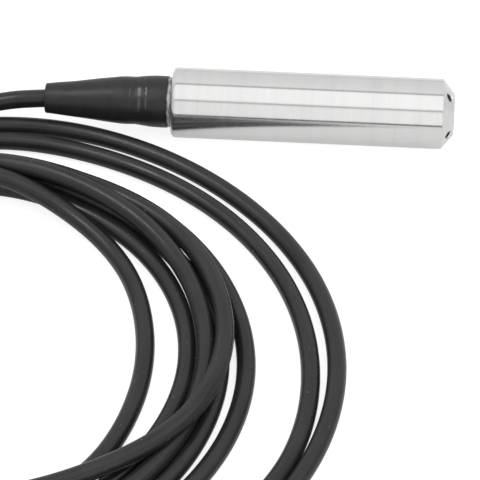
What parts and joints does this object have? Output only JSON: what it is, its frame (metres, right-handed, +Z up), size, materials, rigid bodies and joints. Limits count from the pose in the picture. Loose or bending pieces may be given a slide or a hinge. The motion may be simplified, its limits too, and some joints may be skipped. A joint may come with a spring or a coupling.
{
  "type": "submersible level transmitter",
  "caption": "Slim polished steel probe with a screw-off nose cap over its pressure sensor, a heat-shrunk black boot and a vented cable laid in a loose coil; measures liquid level by pressure.",
  "frame": {"origin": "on the floor, under the middle of the probe and its boot, measured without the free cable", "axes": "+X along the probe's axis towards its nose, +Z up, +Y away from the cable's coil"},
  "size_m": [0.297, 0.2674, 0.028],
  "materials": {
    "polished_steel": "polished",
    "turned_steel": "fine turned",
    "diaphragm_steel": "satin, fine rings",
    "gold_pins": "gold plated",
    "seal_rubber": "matt",
    "boot_black": "satin, faint shrink marks",
    "cone_rubber": "matt",
    "clear_adhesive": "glossy, uneven",
    "amber_film": "satin",
    "board_green": "solder mask",
    "chip_black": "matt moulded",
    "capacitor_can": "satin can",
    "trimmer_blue": "moulded",
    "terminal_green": "moulded",
    "wire_red": "smooth insulation",
    "wire_black": "smooth insulation",
    "vent_tube_clear": "milky tube",
    "cable_jacket": "satin jacket, fine dust",
    "tinned_ferrule": "tinned"
  },
  "bodies": {
    "housing": {"sensor_housing": "polished_steel", "housing_tube": "polished_steel", "tail_fitting": "turned_steel", "pressure_capsule": "turned_steel", "capsule_ring": "turned_steel", "gland_washer_front": "turned_steel", "gland_washer_back": "turned_steel", "gland_nut": "turned_steel", "diaphragm": "diaphragm_steel", "header_pin_1": "gold_pins", "header_pin_2": "gold_pins", "header_pin_3": "gold_pins", "header_pin_4": "gold_pins", "header_pin_5": "gold_pins", "capsule_seal": "seal_rubber", "tail_seal": "seal_rubber", "gland_grommet": "seal_rubber", "heat_shrink_boot": "boot_black", "strain_relief_cone": "cone_rubber", "adhesive_bead": "clear_adhesive", "board_sleeve": "amber_film", "sensor_ribbon": "amber_film", "circuit_board": "board_green", "amplifier_chip": "chip_black", "current_loop_chip": "chip_black", "filter_capacitor": "capacitor_can", "zero_trimmer": "trimmer_blue", "span_trimmer": "trimmer_blue", "terminal_block": "terminal_green", "supply_wire": "wire_red", "signal_wire": "wire_black", "vent_tube": "vent_tube_clear", "cable_entry": "cable_jacket", "cable_lead": "cable_jacket", "cable_coil_outer": "cable_jacket", "cable_coil_inner": "cable_jacket", "cable_tail": "cable_jacket", "lead_red": "wire_red", "lead_black": "wire_black", "lead_red_ferrule": "tinned_ferrule", "lead_black_ferrule": "tinned_ferrule", "vent_tube_end": "vent_tube_clear"},
    "cap_seal": {"nose_cap_seal": "seal_rubber"},
    "nose_cap": {"nose_cap": "polished_steel"}
  },
  "joints": [
    {"name": "nose_cap_travel", "type": "slide", "parent": "housing", "child": "cap_seal", "axis": [1, 0, 0], "range_m": [0, 0.0075]},
    {"name": "nose_cap_turn", "type": "hinge", "parent": "cap_seal", "child": "nose_cap", "pos_m": [0.05805, 0, 0.014], "axis": [1, 0, 0], "range_deg": [0, 1800]}
  ],
  "couplings": [
    {"joint": "nose_cap_travel", "follows": "nose_cap_turn", "m_per_rad": 0.00023873}
  ]
}
